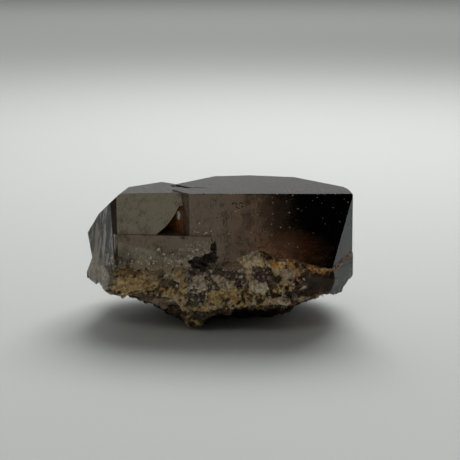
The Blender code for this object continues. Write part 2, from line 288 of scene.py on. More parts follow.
def fine_front(x, z, depth):
    a = smooth(0.0, 2.5, depth) * lively(x, z)
    crumb = smooth(0.35, 0.6, 0.5 + 0.5 * rough(x, 3.0, z, 7.0, 2, 9.4))
    h = chips(x, z, 1.7, 0.75, 11.3) * a
    h += chips(x, z, 0.85, 0.95, 17.9) * a * (0.35 + 0.65 * crumb)
    h += 0.16 * a * rough(x, 0.0, z, 0.9, 2, 13.0)
    return h


def fine_under(x, y, keep):
    h = chips(x, y, 1.9, 0.7, 21.3)
    h += chips(x, y, 0.9, 0.7, 27.9)
    h += 0.12 * rough(x, y, 0.0, 1.0, 2, 23.0)
    return h * (0.4 + 0.6 * keep) * (1.0 if x > -30 else 0.3) * (0.3 + 0.7 * lively(x, 6.0))


def sheet_cutter(name, nu, nv, place, back, mat):
    bm = bmesh.new()
    bmesh.ops.create_grid(bm, x_segments=nu, y_segments=nv, size=0.5)
    for v in bm.verts:
        v.co = Vector(place(v.co.x + 0.5, v.co.y + 0.5))
    out = bmesh.ops.extrude_face_region(bm, geom=bm.faces[:])
    for v in out["geom"]:
        if isinstance(v, bmesh.types.BMVert):
            v.co = Vector(back(v.co))
    bmesh.ops.recalc_face_normals(bm, faces=bm.faces[:])
    return to_object(name, bm, mat)


def front_place(fine):
    def place(a, b):
        x = -46 + 92 * a
        wave = 0.5 * noise.noise(Vector((x / 2.6, 4.1, 0)))
        wave += 0.35 * noise.noise(Vector((x / 0.9, 9.1, 0)))
        wave *= 1.0 + 1.9 * smooth(-5.0, -12.0, x)
        top = max(BASE_TOP + 0.15, interp(BREAK_LINE, x) + wave)
        z = -8 + (top + 8) * (b ** 0.9)
        return (x, broken_front(x, z, fine), z)
    return place


def under_place(fine):
    def place(a, b):
        x, y = -47 + 94 * a, -34 + 62 * b
        return (x, y, max(0.0, broken_under(x, y, fine)))
    return place


def ball(name, centre, radii, amount, seed, level, mat, turn=0.0):
    c, s = math.cos(turn), math.sin(turn)
    bm = bmesh.new()
    bmesh.ops.create_icosphere(bm, subdivisions=level, radius=1.0)
    for v in bm.verts:
        d = v.co.normalized()
        ripple = 0.35 * amount * math.sin(9.0 * d.z + 5.0 * d.x + seed)
        k = 1.0 + (amount * rough(d.x, d.y, d.z, 0.55, 5, seed) + ripple) / max(radii)
        px, py = d.x * radii[0] * k, d.y * radii[1] * k
        v.co = Vector((centre[0] + c * px - s * py, centre[1] + s * px + c * py,
                       centre[2] + d.z * radii[2] * k))
    return to_object(name, bm, mat)


# ================================================================ node helpers
def nodes_of(mat):
    mat.use_nodes = True
    return mat.node_tree, mat.node_tree.nodes["Principled BSDF"]


def node(nt, kind, inputs=None, **props):
    n = nt.nodes.new(kind)
    for k, v in props.items():
        setattr(n, k, v)
    for k, v in (inputs or {}).items():
        if isinstance(v, bpy.types.NodeSocket):
            nt.links.new(v, n.inputs[k])
        else:
            n.inputs[k].default_value = v
    return n


def calc(nt, op, a, b=None, clamp=False):
    n = nt.nodes.new("ShaderNodeMath")
    n.operation = op
    n.use_clamp = clamp
    for i, v in enumerate((a, b)):
        if v is None:
            continue
        if isinstance(v, (int, float)):
            n.inputs[i].default_value = v
        else:
            nt.links.new(v, n.inputs[i])
    return n.outputs[0]


def fade(nt, value, a, b, low, high):
    """Smooth step of value from low at a to high at b."""
    n = node(nt, "ShaderNodeMapRange", {"From Min": a, "From Max": b, "To Min": low,
                                        "To Max": high, "Value": value})
    n.interpolation_type = "SMOOTHSTEP"
    return n.outputs["Result"]


def blend(nt, factor, a, b, mode="MIX"):
    n = node(nt, "ShaderNodeMix", data_type="RGBA", blend_type=mode)
    for i, v in ((0, factor), (6, a), (7, b)):
        if isinstance(v, bpy.types.NodeSocket):
            nt.links.new(v, n.inputs[i])
        elif i == 0:
            n.inputs[i].default_value = v
        else:
            n.inputs[i].default_value = (*v, 1.0)
    return n.outputs[2]


def grey(nt, value):
    n = node(nt, "ShaderNodeCombineColor", {"Red": value, "Green": value, "Blue": value})
    return n.outputs[0]


def noise_fac(nt, vector, scale, detail=3.0, roughness=0.55):
    return node(nt, "ShaderNodeTexNoise", {"Vector": vector, "Scale": scale, "Detail": detail,
                                           "Roughness": roughness}).outputs["Fac"]


# ================================================================ smoky quartz
ABSORB_COLOUR = (0.52, 0.36, 0.20, 1.0)
ABSORB_DENSITY = 620.0


def quartz_material():
    mat = bpy.data.materials.new("smoky_quartz_look")
    nt, bsdf = nodes_of(mat)
    out = nt.nodes["Material Output"]
    link = nt.links.new

    coord = node(nt, "ShaderNodeTexCoord").outputs["Object"]
    mm = node(nt, "ShaderNodeVectorMath", {0: coord, "Scale": 1000.0}, operation="SCALE").outputs[0]
    P = node(nt, "ShaderNodeVectorMath", {0: mm, 1: SHIFT}, operation="SUBTRACT").outputs[0]
    xyz = node(nt, "ShaderNodeSeparateXYZ", {0: P})
    X, Y, Z = xyz.outputs[0], xyz.outputs[1], xyz.outputs[2]
    stain = node(nt, "ShaderNodeAttribute", attribute_name="stain")
    film = node(nt, "ShaderNodeAttribute", attribute_name="film")
    kind = node(nt, "ShaderNodeAttribute", attribute_name="broken").outputs["Fac"]

    # ---- milky veils close under the faces; they thin out towards the right end
    warp = calc(nt, "MULTIPLY", calc(nt, "SUBTRACT", noise_fac(nt, P, 0.13, 3.0), 0.5), 9.0)
    lean = calc(nt, "MULTIPLY", calc(nt, "SUBTRACT", Z, 32.0), 0.25)
    gx = fade(nt, calc(nt, "ADD", calc(nt, "ADD", X, lean), warp), 3.0, 26.0, 1.0, 0.0)
    cloud = fade(nt, noise_fac(nt, P, 0.30, 6.0, 0.66), 0.30, 0.70, 0.60, 1.36)
    upright = node(nt, "ShaderNodeMapping", {"Vector": P, "Scale": (1.6, 1.6, 0.55)}).outputs[0]
    fine = fade(nt, noise_fac(nt, upright, 1.3, 4.0, 0.65), 0.32, 0.68, 0.72, 1.25)
    veil = calc(nt, "MULTIPLY", calc(nt, "MULTIPLY", cloud, fine), film.outputs["Alpha"])
    veil = calc(nt, "MULTIPLY", veil, calc(nt, "MAXIMUM", gx, calc(nt, "MULTIPLY", kind, 0.6)))
    veil = calc(nt, "MULTIPLY", veil, fade(nt, Z, 18.0, 42.0, 0.86, 1.06), clamp=True)
    grooves = node(nt, "ShaderNodeMapping", {"Vector": P, "Scale": (1.3, 1.3, 0.05)}).outputs[0]
    groove = noise_fac(nt, grooves, 0.5, 2.0, 0.5)
    left = calc(nt, "MULTIPLY", fade(nt, X, -32.0, -33.2, 0.0, 1.0), fade(nt, Y, -6.0, -9.0, 0.0, 1.0))
    streak = fade(nt, groove, 0.42, 0.58, 0.10, 1.60)
    veil = calc(nt, "MULTIPLY", veil, node(nt, "ShaderNodeMix", {0: left, 2: 1.0, 3: streak}).outputs[0],
                clamp=True)

    # ---- the veil's tone: greyer on the left, redder to the right, amber low at the right end
    ruddy = blend(nt, fade(nt, X, -6.0, 15.0, 0.0, 1.0), (1, 1, 1), (0.88, 0.70, 0.60))
    tone = blend(nt, 1.0, film.outputs["Color"], ruddy, "MULTIPLY")
    tone = blend(nt, fade(nt, X, -34.5, -38.5, 0.0, 0.8), tone, (0.36, 0.28, 0.20))
    haze = calc(nt, "MULTIPLY", fade(nt, Z, 25.5, 20.4, 0.0, 1.0), fade(nt, X, -7.0, -14.0, 0.0, 1.0))
    haze = calc(nt, "MULTIPLY", haze, fade(nt, noise_fac(nt, P, 0.5, 5.0, 0.65), 0.35, 0.62, 0.25, 0.95), clamp=True)
    tone = blend(nt, haze, tone, (0.58, 0.44, 0.255))
    ax = calc(nt, "DIVIDE", calc(nt, "SUBTRACT", calc(nt, "ADD", X, calc(nt, "MULTIPLY", warp, 0.25)), 21.0), 9.5)
    az = calc(nt, "DIVIDE", calc(nt, "SUBTRACT", Z, 24.0), 5.6)
    far = calc(nt, "ADD", calc(nt, "MULTIPLY", ax, ax), calc(nt, "MULTIPLY", az, az))
    amber = calc(nt, "MULTIPLY", fade(nt, far, 0.0, 2.3, 0.30, 0.0), film.outputs["Alpha"])
    amber = calc(nt, "MULTIPLY", amber, fade(nt, X, 14.0, 36.0, 1.15, 0.45))
    amber = calc(nt, "MULTIPLY", amber, fade(nt, noise_fac(nt, P, 0.55, 4.0, 0.6), 0.3, 0.7, 0.6, 1.3), clamp=True)

    # ---- stains and grains on the break
    cell = node(nt, "ShaderNodeTexVoronoi", {"Vector": P, "Scale": 1.7})
    pick = node(nt, "ShaderNodeSeparateColor", {0: cell.outputs["Color"]})
    cell2 = node(nt, "ShaderNodeTexVoronoi", {"Vector": P, "Scale": 3.6})
    pick2 = node(nt, "ShaderNodeSeparateColor", {0: cell2.outputs["Color"]})
    grain = calc(nt, "MULTIPLY", fade(nt, pick.outputs[0], 0.0, 1.0, 0.80, 1.38),
                 fade(nt, pick2.outputs[0], 0.0, 1.0, 0.70, 1.30))
    grain = calc(nt, "MULTIPLY", grain, fade(nt, noise_fac(nt, P, 0.8, 5.0, 0.62), 0.3, 0.7, 0.66, 1.50))
    stain_colour = blend(nt, 1.0, stain.outputs["Color"], grey(nt, grain), "MULTIPLY")
    coat = calc(nt, "MULTIPLY", stain.outputs["Alpha"],
                fade(nt, noise_fac(nt, P, 1.4, 4.0, 0.65), 0.36, 0.56, 0.45, 1.0), clamp=True)

    # ---- pale specks sprayed on the growth faces near the break and over the ledge's end
    def bell(cx, cz, rx, rz, peak):
        dx = calc(nt, "DIVIDE", calc(nt, "SUBTRACT", X, cx), rx)
        dz = calc(nt, "DIVIDE", calc(nt, "SUBTRACT", Z, cz), rz)
        far = calc(nt, "ADD", calc(nt, "MULTIPLY", dx, dx), calc(nt, "MULTIPLY", dz, dz))
        return fade(nt, far, 0.0, 1.6, peak, 0.0)

    jitter = node(nt, "ShaderNodeTexNoise", {"Vector": P, "Scale": 1.7, "Detail": 3.0}).outputs["Color"]
    jagged = blend(nt, 1.0, P, blend(nt, 0.5, (0, 0, 0), jitter), "ADD")
    jagged = blend(nt, 1.0, jagged, jitter, "ADD")

    def spray(scale, density, size):
        dots = node(nt, "ShaderNodeTexVoronoi", {"Vector": jagged, "Scale": scale})
        pick = node(nt, "ShaderNodeSeparateColor", {0: dots.outputs["Color"]})
        return calc(nt, "MULTIPLY", calc(nt, "LESS_THAN", pick.outputs[2], density),
                    fade(nt, dots.outputs["Distance"], size * 0.7, size, 1.0, 0.0))

    front_only = calc(nt, "MULTIPLY", calc(nt, "LESS_THAN", kind, 0.1), calc(nt, "LESS_THAN", Y, -15.0))
    near = calc(nt, "ADD", bell(-20.0, 20.5, 14.0, 4.5, 0.42), bell(-9.0, 21.5, 5.0, 5.0, 0.40))
    spots = spray(1.4, near, 0.45)
    spots = calc(nt, "MAXIMUM", spots, spray(2.1, calc(nt, "ADD", bell(-5.8, 26.0, 5.5, 2.4, 0.70), 0.004), 0.40))
    spots = calc(nt, "MAXIMUM", spots, spray(0.8, calc(nt, "MULTIPLY", near, 0.40), 0.44))
    spots = calc(nt, "MULTIPLY", calc(nt, "MULTIPLY", spots, front_only), 0.85)
    # glint: painted highlights, pale base colour sprayed over the front of the break as its sparkle, and made opaque
    # there
    glint = calc(nt, "MAXIMUM", spray(1.25, 0.13, 0.46), spray(2.3, 0.12, 0.46))
    glint = calc(nt, "MULTIPLY", glint, calc(nt, "MULTIPLY", kind, fade(nt, X, 20.0, 26.0, 1.0, 0.0)))
    glint = calc(nt, "MULTIPLY", glint, calc(nt, "MULTIPLY", fade(nt, Y, -9.0, -14.0, 0.0, 1.0),
                                             fade(nt, Z, 6.0, 10.0, 0.0, 0.75)))
    milky = calc(nt, "MULTIPLY", bell(-34.8, 17.2, 3.4, 3.8, 0.85), calc(nt, "LESS_THAN", Y, -4.0))
    veil = calc(nt, "MAXIMUM", veil, milky)

    block = calc(nt, "MULTIPLY", bell(-28.4, 22.2, 2.6, 4.6, 0.9), calc(nt, "LESS_THAN", kind, 0.1))
    block = calc(nt, "MULTIPLY", block, fade(nt, noise_fac(nt, P, 0.9, 3.0), 0.35, 0.6, 0.5, 1.0), clamp=True)
    veil = calc(nt, "MULTIPLY", veil, calc(nt, "SUBTRACT", 1.0, calc(nt, "MULTIPLY", block, 0.7)))

    veil_part = calc(nt, "MULTIPLY", calc(nt, "ADD", veil, amber), 0.62)
    solid = calc(nt, "MAXIMUM", coat, calc(nt, "MAXIMUM", spots, veil_part), clamp=True)
    solid = calc(nt, "MAXIMUM", solid, glint)
    glass = blend(nt, calc(nt, "MULTIPLY", veil, 60.0, clamp=True), (1, 1, 1), tone)
    share = calc(nt, "DIVIDE", amber, calc(nt, "ADD", calc(nt, "ADD", amber, 0.001),
                                           calc(nt, "MULTIPLY", veil, 0.8)))
    glass = blend(nt, share, glass, (0.42, 0.14, 0.038))
    glass = blend(nt, milky, glass, (0.50, 0.46, 0.36))
    glass = blend(nt, calc(nt, "MULTIPLY", spots, 1.4, clamp=True), glass, (0.95, 0.86, 0.70))
    skin = blend(nt, calc(nt, "MULTIPLY", coat, 3.0, clamp=True), glass, stain_colour)
    skin.node.clamp_result = True
    # the glint's pale colour, painted highlights, goes over the skin
    link(blend(nt, glint, skin, (0.95, 0.84, 0.64)), bsdf.inputs["Base Color"])
    link(calc(nt, "SUBTRACT", 1.0, solid, clamp=True), bsdf.inputs["Transmission Weight"])
    bsdf.inputs["IOR"].default_value = 1.544

    # ---- roughness: smears on the growth faces, duller on the break and the stains
    clean = fade(nt, noise_fac(nt, P, 0.16, 4.0, 0.6), 0.35, 0.70, 0.02, 0.10)
    rough_all = calc(nt, "ADD", clean, calc(nt, "MULTIPLY", kind, 0.09))
    rough_all = calc(nt, "ADD", rough_all, calc(nt, "MULTIPLY", coat, 0.42), clamp=True)
    link(rough_all, bsdf.inputs["Roughness"])

    # ---- relief: faint growth lines along X, upright ones on the left facet, pits on the break
    long_x = node(nt, "ShaderNodeMapping", {"Vector": P, "Scale": (0.10, 1.7, 1.7)}).outputs[0]
    h1 = noise_fac(nt, long_x, 1.0, 3.0)
    b1 = node(nt, "ShaderNodeBump", {"Strength": 0.30, "Distance": 0.0001, "Height": h1})
    b2 = node(nt, "ShaderNodeBump", {"Strength": left, "Distance": 0.0002, "Height": groove,
                                     "Normal": b1.outputs[0]})
    b3 = node(nt, "ShaderNodeBump", {"Strength": calc(nt, "MULTIPLY", kind, 0.65),
                                     "Distance": 0.0003, "Height": noise_fac(nt, P, 2.6, 5.0, 0.7),
                                     "Normal": b2.outputs[0]})
    link(b3.outputs[0], bsdf.inputs["Normal"])

    absorb = node(nt, "ShaderNodeVolumeAbsorption")
    absorb.inputs["Color"].default_value = ABSORB_COLOUR
    absorb.inputs["Density"].default_value = ABSORB_DENSITY
    link(absorb.outputs[0], out.inputs["Volume"])
    return mat


# ---------------------------------------------------------------- stains on the broken zone
CREAM, PALE, GOLD = (0.93, 0.64, 0.36), (0.93, 0.72, 0.50), (0.86, 0.55, 0.23)
OCHRE, ORANGE, RUST = (0.84, 0.52, 0.20), (0.78, 0.35, 0.08), (0.46, 0.19, 0.06)
PINKISH, BROWN, DUN = (0.42, 0.28, 0.20), (0.15, 0.088, 0.045), (0.52, 0.375, 0.235)
# x, z, half widths, colour, strength: positive covers, negative leaves the quartz bare
STAINS = (
    # golden ridge on the left and the smooth face under it
    (-28.0, 18.7, 4.0, 1.5, OCHRE, 0.9), (-21.0, 18.9, 4.5, 1.5, DUN, 1.0),
    (-15.0, 19.0, 3.2, 1.4, CREAM, 0.9),
    (-27.0, 14.4, 5.6, 2.3, GOLD, 1.5), (-29.5, 16.0, 2.4, 0.9, OCHRE, 1.0),
    (-21.5, 15.6, 3.6, 1.3, GOLD, 1.4), (-16.0, 13.0, 3.6, 1.1, OCHRE, 1.4),
    (-12.5, 11.3, 1.8, 1.0, CREAM, 1.3), (-10.7, 7.4, 1.5, 3.4, GOLD, 1.3),
    (-9.6, 2.6, 3.4, 2.4, OCHRE, 1.0), (-18.2, 9.0, 5.2, 2.0, PINKISH, 1.3),
    (-31.0, 11.2, 3.5, 1.6, DUN, 0.9),
    # greyish white crumbs in the middle, yellow band below them
    (-6.2, 15.8, 3.2, 2.2, PALE, 1.2), (-4.5, 8.4, 4.6, 1.1, GOLD, 1.3),
    (-12.3, 17.6, 1.6, 1.6, GOLD, 1.1), (-11.9, 14.2, 1.4, 1.6, OCHRE, 1.1),
    (-9.8, 20.8, 2.2, 1.0, PALE, 1.0), (-19.3, 18.6, 0.8, 1.5, PALE, 1.4),
    (-15.6, 18.6, 2.6, 1.6, DUN, 1.0), (-24.0, 19.0, 4.0, 1.4, DUN, 0.9),
    (-1.0, 17.0, 3.5, 1.2, DUN, 0.7), (3.0, 15.5, 3.4, 1.4, PALE, 0.6),
    # cream patch with its hollow, orange patch beside it
    (10.4, 21.9, 3.2, 1.9, CREAM, 1.6), (9.4, 23.6, 2.0, 1.2, PALE, 1.4),
    (13.2, 20.8, 2.2, 1.2, GOLD, 1.3), (12.0, 15.4, 2.8, 1.9, PALE, 1.4),
    (9.0, 18.2, 1.3, 2.4, CREAM, 1.2), (15.6, 16.4, 1.8, 2.0, GOLD, 1.2),
    (13.1, 18.5, 2.3, 1.2, BROWN, -2.6),
    (18.7, 21.0, 4.2, 1.5, ORANGE, 1.5), (24.3, 20.3, 3.2, 1.4, ORANGE, 1.3),
    (20.3, 18.5, 3.0, 1.2, DUN, 1.8), (19.3, 15.3, 4.6, 1.6, OCHRE, 1.3),
    (25.4, 17.6, 2.0, 1.6, ORANGE, 1.0),
    # rusty band and dark glassy hollow on the right
    (30.2, 19.3, 4.6, 1.0, ORANGE, 1.1), (33.0, 19.8, 2.2, 0.8, CREAM, 0.9),
    (28.8, 14.4, 5.0, 2.2, BROWN, -2.2), (37.0, 14.5, 2.5, 3.0, BROWN, -1.5),
    # lower middle: tan and yellow crumbs, brown tail, and two painted highlights on the dark hollow on the right
    (3.6, 21.0, 5.0, 2.0, BROWN, 0.9), (5.0, 11.6, 9.0, 3.2, OCHRE, 0.60),
    (1.8, 11.4, 3.2, 1.5, GOLD, 1.4), (8.0, 13.6, 1.8, 0.9, RUST, 1.2),
    (-2.0, 12.6, 2.2, 0.9, OCHRE, 1.0), (6.4, 10.2, 2.4, 0.8, OCHRE, 0.9),
    (19.5, 10.8, 8.0, 1.0, DUN, 1.3), (31.0, 11.2, 6.0, 0.8, DUN, 0.9),
    (19.5, 6.2, 5.5, 1.6, RUST, 1.3), (-4.0, 22.4, 4.5, 3.0, BROWN, -1.2),
    # painted highlights: the PALE spots at x 25.0 and 31.2 are glints on the glassy hollow
    (-4.8, 5.8, 4.6, 1.0, BROWN, -2.4), (25.0, 14.1, 1.1, 0.38, PALE, 4.6),
    (31.2, 12.4, 0.5, 0.5, PALE, 3.0), (-22.5, 11.2, 3.4, 0.8, BROWN, -1.6),
)


def stain_at(p):
    """Colour and cover of the stains at a point, in mm, of the broken zone, with painted light and shade: a few pale
    glints, raised chips lighter, hollows and the bottom darker.
    """
    x, y, z = p
    front = smooth(-8.0, -14.0, y)
    total, cover, r, g, b = 0.0, 0.0, 0.0, 0.0, 0.0
    wx = x + 1.5 * rough(x, y, z, 3.5, 3, 31.0)
    wz = z + 1.0 * rough(x, y, z, 3.5, 3, 37.0)
    for cx, cz, rx, rz, c, s in STAINS:
        w = s * math.exp(-(((wx - cx) / rx) ** 2 + ((wz - cz) / rz) ** 2) ** 1.4) * front
        cover += w
        w = abs(w)
        total += w
        r, g, b = r + w * c[0], g + w * c[1], b + w * c[2]
    w = 0.10 + 0.10 * (1 - front)                            # thin rusty film elsewhere
    cover += w
    total += w
    r, g, b = (r + w * 0.20) / total, (g + w * 0.15) / total, (b + w * 0.095) / total
    n1 = rough(x, y, z, 2.0, 3, 41.0)
    n2 = rough(x, y, z, 0.7, 2, 43.0)
    cover = smooth(0.18, 0.72, min(1.20, cover) + 0.50 * n1 + 0.40 * n2)
    cell = noise.cell_vector(noise.voronoi(p / 0.75)[1][0] * 7.3)
    live = lively(x, z)
    if front > 0.5 and -16 < x < 26 and 8 < z < 24 and cell.x > 0.93 and live > 0.5:
        return (0.90, 0.76, 0.58, 0.95)                      # pale sparkling grains
    # painted light and shade: raised chips get a lighter stain colour, the hollows between them a darker one and
    # less stain
    proud = -(chips(x, z, 3.2, 0.55, 5.3) + chips(x, z, 1.7, 0.75, 11.3)
              + chips(x, z, 0.85, 0.95, 17.9)) * live + 0.9 * folds(x, z)
    v = (0.80 + 0.40 * cell.z) * (0.14 + 1.40 * smooth(-0.50, 0.50, proud)) if front > 0.3 else 0.8
    cover *= 0.45 + 0.55 * smooth(-0.55, 0.0, proud)
    # painted shade: the stain is darker towards the bottom of the break
    v *= 0.62 + 0.38 * smooth(5.0, 13.0, z)
    v = min(1.75 * v, 0.78 / max(r, g, b))
    return (r * v, g * v, b * v, cover)


# ================================================================ build the crystal
# (x, z, radius) of small pits on the broad front face; y follows the face
PITS = ((4.0, 39.3, 0.55), (5.0, 39.0, 0.40), (6.2, 39.1, 0.50), (6.6, 38.2, 0.35),
        (4.9, 38.1, 0.30), (5.5, 37.4, 0.28), (4.6, 36.8, 0.22), (12.2, 37.2, 0.42),
        (12.8, 36.5, 0.34), (23.2, 37.6, 0.30), (24.4, 37.0, 0.26), (25.6, 38.0, 0.24),
        (24.0, 36.0, 0.20), (33.6, 37.9, 0.30), (36.3, 36.3, 0.34), (35.6, 33.8, 0.34),
        (31.3, 33.1, 0.24), (20.6, 32.2, 0.34), (23.1, 26.2, 0.30), (32.4, 40.6, 0.26),
        (19.8, 39.8, 0.26), (27.5, 39.9, 0.28), (30.2, 39.2, 0.18), (9.2, 30.6, 0.2),
        (2.6, 30.2, 0.22), (-1.0, 35.0, 0.2), (1.2, 36.6, 0.22), (27.8, 30.4, 0.18),
        (38.0, 39.5, 0.3), (36.9, 40.4, 0.25), (15.6, 34.5, 0.20), (17.4, 30.8, 0.22),
        (15.5, 40.8, 0.19), (15.7, 39.3, 0.21), (15.3, 37.6, 0.18), (15.6, 36.1, 0.24),
        (15.3, 33.0, 0.20), (15.6, 31.4, 0.19), (15.4, 29.8, 0.22), (-6.2, 33.2, 0.26),
        (-2.8, 38.4, 0.22), (-0.6, 32.0, 0.2), (21.4, 39.0, 0.22), (22.6, 34.2, 0.2),
        (17.9, 27.9, 0.28), (20.4, 27.2, 0.24))


def specks(bm, spots, seed, flat=0.5, level=1):
    """Adds little angular lumps, each a squashed, jittered icosphere: ((x, y, z), radius)."""
    for i, (c, r) in enumerate(spots):
        made = bmesh.ops.create_icosphere(bm, subdivisions=level, radius=r)["verts"]
        t = noise.cell_vector(Vector((i * 1.7 + seed, 3.1, 0.5)))
        a = 6.283 * t.x
        for v in made:
            j = noise.cell_vector(v.co * (3.0 / r) + Vector((seed, i, 0)))
            q = v.co * (0.75 + 0.5 * j.x)
            q = Vector((q.x * (0.8 + 0.9 * t.y), q.y * flat, q.z * (0.7 + 0.6 * t.z)))
            q = Vector((q.x * math.cos(a) - q.z * math.sin(a), q.y,
                        q.x * math.sin(a) + q.z * math.cos(a)))
            v.co = Vector(c) + q


def mark_cutter(mat, share):
    """One of four sets of pits, so that no two pits of a set overlap."""
    bm = bmesh.new()
    spots = [((x, front_plane_y(z) - 0.12 * r, z), r * (0.72 if x > 14 else 1.0)) for x, z, r in PITS]
    # squiggle of bubbles over the ledge's right end
    for k in range(13):
        t = k / 12.0
        x = -8.6 + 6.4 * t
        z = 30.3 + 0.75 * math.sin(9.5 * t) + 0.3 * math.sin(23 * t)
        spots.append(((x, front_plane_y(z) - 0.03, z), 0.17 + 0.07 * (k % 3)))
    # nicks along the top front edge
    for k, x in enumerate((-8.0, -4.6, -1.3, 3.4, 7.8, 13.1, 16.9, 21.5, 24.1, 28.9, 31.0, 34.2, 37.6)):
        spots.append(((x, FRONT_Y + 0.05, TOP_Z + 0.1), 0.24 + 0.09 * ((k * 7) % 4)))
    specks(bm, spots[share::4], 4.0 + share, 0.55)
    bmesh.ops.recalc_face_normals(bm, faces=bm.faces[:])
    return to_object("marks%d" % share, bm, mat)


def plate_y(x, z):
    return -21.65 + (-0.03 * (x + 3.0) + 0.215 * (z - 29.6)) / 0.975


def crack_cutter(mat, name, x0, z0, dx, dz, width, y_at):
    """A thin slanting crack that opens on a growth face."""
    bm = bmesh.new()
    bmesh.ops.create_cube(bm, size=1.0)
    bmesh.ops.subdivide_edges(bm, edges=[e for e in bm.edges if abs((e.verts[0].co - e.verts[1].co).x) > 0.5],
                              cuts=11, use_grid_fill=True)
    for v in bm.verts:
        t = v.co.x + 0.5
        w = width * (1.0 - abs(2 * t - 1.0) ** 2) + 0.02
        x = x0 + dx * t
        z = z0 + dz * t + 0.10 * dz * math.sin(7 * t)
        y = y_at(x, z) + 0.35
        v.co = Vector((x - 0.4 * v.co.z * w, y + v.co.y * 1.1, z + v.co.z * 2.0 * w))
    bmesh.ops.recalc_face_normals(bm, faces=bm.faces[:])
    return to_object(name, bm, mat)


def volume(mesh):
    bm = bmesh.new()
    bm.from_mesh(mesh)
    v = bm.calc_volume() * 1e-3
    bm.free()
    return v


def open_edges(mesh):
    bm = bmesh.new()
    bm.from_mesh(mesh)
    n = sum(1 for e in bm.edges if not e.is_manifold)
    bm.free()
    return n


def drop_splinters(mesh):
    """Keeps only the largest connected shell."""
    bm = bmesh.new()
    bm.from_mesh(mesh)
    left, shells = set(bm.verts), []
    while left:
        todo = [left.pop()]
        shell = set(todo)
        while todo:
            for e in todo.pop().link_edges:
                for v in e.verts:
                    if v not in shell:
                        shell.add(v)
                        todo.append(v)
        left -= shell
        shells.append(shell)
    big = max(shells, key=len)
    loose = [v for shell in shells if shell is not big for v in shell]
    bmesh.ops.delete(bm, geom=loose, context="VERTS")
    bm.to_mesh(mesh)
    bm.free()


